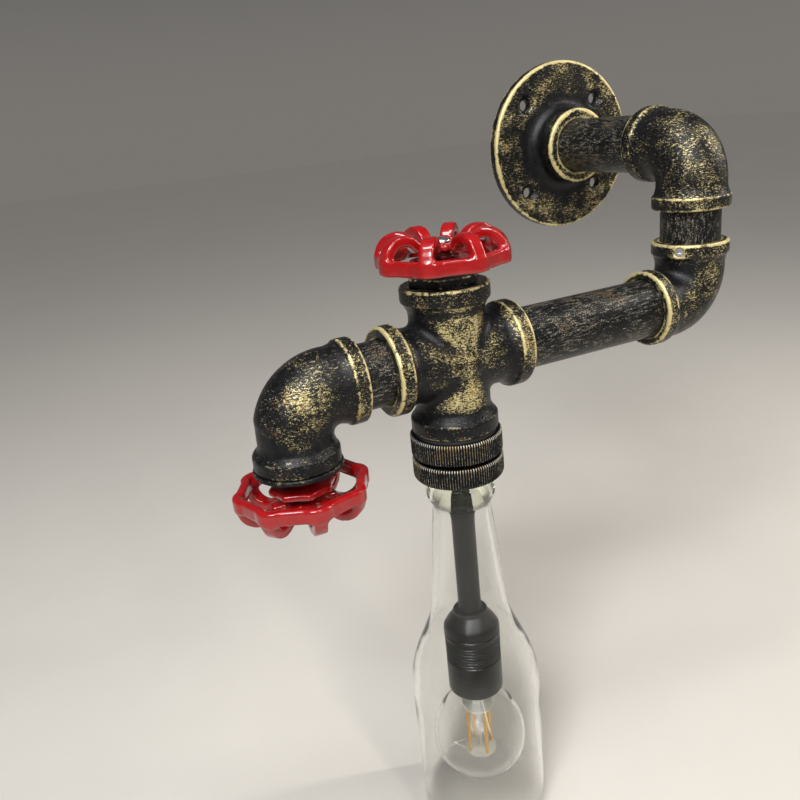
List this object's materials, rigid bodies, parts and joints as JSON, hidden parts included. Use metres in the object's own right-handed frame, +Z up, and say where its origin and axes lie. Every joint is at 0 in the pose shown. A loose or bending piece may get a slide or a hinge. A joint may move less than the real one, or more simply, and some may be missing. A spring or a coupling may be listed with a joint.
{
  "type": "wall_light",
  "caption": "Wall light of iron pipe fittings: swinging arm, cross and elbows, red handwheels and a clear bottle shade held by knurled rings.",
  "frame": {"origin": "centre of the wall flange's back face, on the wall", "axes": "+Y into the wall, +Z up, +X to the right as seen from the room; the arm points along -X at rest"},
  "size_m": [0.2729, 0.1305, 0.3405],
  "materials": {
    "pipe_iron": "blackened pipe with fine lengthwise streaks of worn antique gold",
    "fitting_iron": "charcoal casting dry-brushed with antique brass, bright where edges are worn",
    "knurled_iron": "dark bronze-black with brown-gold wear on the knurls",
    "red_enamel": "thick glossy red enamel",
    "bright_steel": "zinc-bright steel",
    "clear_glass": "clear glass with a faint green edge",
    "black_tube": "matte black paint",
    "black_plastic": "matte black plastic",
    "brass": "plain turned brass",
    "ceramic": "glazed off-white ceramic",
    "light_strip": "amber light strips on a pale stem",
    "rubber": "black rubber",
    "cable": "black cable sheath"
  },
  "bodies": {
    "wall_mount": {"wall_flange": "fitting_iron", "wall_nipple": "pipe_iron", "wall_elbow": "fitting_iron", "swivel_tube": "pipe_iron", "terminal_block": "ceramic", "wall_cable": "cable"},
    "arm": {"arm_elbow": "fitting_iron", "swivel_screws": "bright_steel", "arm_pipe": "pipe_iron", "cross_fitting": "fitting_iron", "end_nipple": "pipe_iron", "end_elbow": "fitting_iron", "top_plug": "fitting_iron", "end_plug": "fitting_iron", "bottle_adapter": "knurled_iron", "seal_washer": "rubber", "lock_ring": "knurled_iron", "mouth_gasket": "rubber", "lamp_tube": "black_tube", "tube_nuts": "brass", "tube_sleeve": "black_plastic", "lampholder_cap": "black_plastic", "lampholder_skirt": "black_plastic", "lampholder_core": "ceramic", "lampholder_shell": "brass", "bulb_cap": "bright_steel", "bulb_glass": "clear_glass", "bulb_strips": "light_strip", "arm_cable": "cable"},
    "top_wheel": {"top_spindle": "bright_steel", "top_clip": "bright_steel", "top_handwheel": "red_enamel", "top_screw": "bright_steel"},
    "end_wheel": {"end_spindle": "bright_steel", "end_clip": "bright_steel", "end_handwheel": "red_enamel", "end_screw": "bright_steel"},
    "shade": {"bottle_glass": "clear_glass", "grip_ring": "rubber"},
    "clamp": {"clamp_ring": "knurled_iron"}
  },
  "joints": [
    {"name": "arm_swing", "type": "hinge", "parent": "wall_mount", "child": "arm", "pos_m": [0, -0.1, -0.049], "axis": [0, 0, 1], "range_deg": [0, 180]},
    {"name": "top_wheel_turn", "type": "hinge", "parent": "arm", "child": "top_wheel", "pos_m": [-0.131, -0.1, -0.0325], "axis": [0, 0, 1], "continuous": true},
    {"name": "end_wheel_turn", "type": "hinge", "parent": "arm", "child": "end_wheel", "pos_m": [-0.2017, -0.1, -0.1068], "axis": [0, 0, 1], "continuous": true},
    {"name": "shade_slide", "type": "slide", "parent": "arm", "child": "shade", "axis": [0, 0, 1], "range_m": [-0.004, 0]},
    {"name": "clamp_ring_turn", "type": "hinge", "parent": "shade", "child": "clamp", "pos_m": [-0.131, -0.1, -0.1185], "axis": [0, 0, 1], "range_deg": [-720, 0]}
  ],
  "couplings": [
    {"joint": "clamp_ring_turn", "follows": "shade_slide", "rad_per_m": 3141.6}
  ]
}
